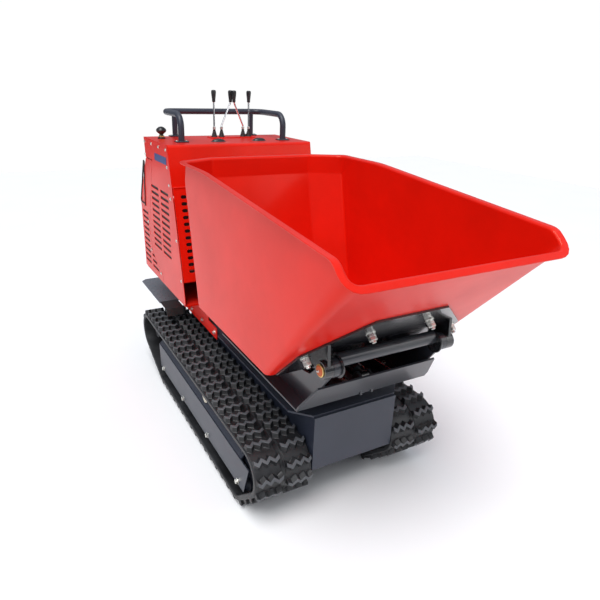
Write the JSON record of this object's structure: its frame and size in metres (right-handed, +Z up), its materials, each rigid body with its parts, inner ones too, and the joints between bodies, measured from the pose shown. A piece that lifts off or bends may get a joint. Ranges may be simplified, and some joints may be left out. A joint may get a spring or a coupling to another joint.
{
  "type": "tracked swivel dumper",
  "caption": "Compact walk-behind dumper on rubber tracks, with a tipping skip on a turntable, a rear engine housing, hand levers and a tubular guard rail.",
  "frame": {"origin": "on the ground under the middle of the overall length and width, between the tracks", "axes": "+Z up; -Y is the direction of travel, towards the skip's lip; +X is the machine's left side"},
  "size_m": [0.918, 2.4004, 1.645],
  "materials": {
    "red_paint": "glossy red paint",
    "blue_grey_paint": "satin dark blue-grey paint",
    "black_paint": "glossy black paint",
    "track_rubber": "matt moulded rubber",
    "flap_rubber": "matt sheet rubber",
    "dark_iron": "dark cast iron",
    "lever_plastic": "black grips and bellows on bright rods",
    "chrome_rod": "polished chrome",
    "zinc_pin": "zinc-plated steel",
    "platform_plate": "grey painted chequer plate"
  },
  "bodies": {
    "chassis": {"chassis_frame": "blue_grey_paint", "deck_plate": "blue_grey_paint", "slew_ring_lower": "dark_iron", "housing_base": "red_paint", "track_frame_left": "blue_grey_paint", "track_frame_right": "blue_grey_paint", "track_guard_left": "blue_grey_paint", "track_guard_right": "blue_grey_paint", "track_left": "track_rubber", "track_right": "track_rubber", "idler_left": "dark_iron", "idler_right": "dark_iron", "sprocket_left": "dark_iron", "sprocket_right": "dark_iron", "engine_block": "dark_iron", "hood": "red_paint", "grille_panel": "red_paint", "console": "red_paint", "side_panel_front_left": "red_paint", "side_panel_front_right": "red_paint", "side_panel_rear_left": "red_paint", "side_panel_rear_right": "red_paint", "guard_rail": "blue_grey_paint", "control_levers": "lever_plastic", "platform": "platform_plate", "mud_flap_left": "flap_rubber", "mud_flap_right": "flap_rubber"},
    "rear_door": {"rear_door": "red_paint"},
    "swivel": {"swivel_frame": "blue_grey_paint", "slew_ring_upper": "dark_iron"},
    "skip": {"skip_floor": "red_paint", "skip_front": "red_paint", "skip_side_left": "red_paint", "skip_side_right": "red_paint", "skip_rear": "red_paint", "tilt_frame": "black_paint", "hinge_pin_left": "zinc_pin", "hinge_pin_right": "zinc_pin"},
    "tip_cylinder": {"tip_cylinder_barrel": "black_paint"},
    "tip_rod": {"tip_cylinder_rod": "chrome_rod"}
  },
  "joints": [
    {"name": "skip_swivel", "type": "hinge", "parent": "chassis", "child": "swivel", "pos_m": [0, -0.235, 0.5245], "axis": [0, 0, 1], "range_deg": [-90, 90]},
    {"name": "skip_tip", "type": "hinge", "parent": "swivel", "child": "skip", "pos_m": [0, -0.86801, 0.79294], "axis": [1, 0, 0], "range_deg": [0, 80]},
    {"name": "tip_cylinder_pivot", "type": "hinge", "parent": "swivel", "child": "tip_cylinder", "pos_m": [0, -0.735, 0.63], "axis": [1, 0, 0], "range_deg": [0, 77.5]},
    {"name": "tip_rod_slide", "type": "slide", "parent": "tip_cylinder", "child": "tip_rod", "axis": [0, 0.9923, 0.124], "range_m": [0, 0.27]},
    {"name": "rear_door_hinge", "type": "hinge", "parent": "chassis", "child": "rear_door", "pos_m": [0.4, 1.00662, 0.82953], "axis": [0, -0.0518, -0.9987], "range_deg": [0, 110]}
  ],
  "couplings": [
    {"joint": "tip_cylinder_pivot", "follows": "skip_tip", "ratio": 0.96261},
    {"joint": "tip_rod_slide", "follows": "skip_tip", "m_per_rad": 0.19252}
  ]
}
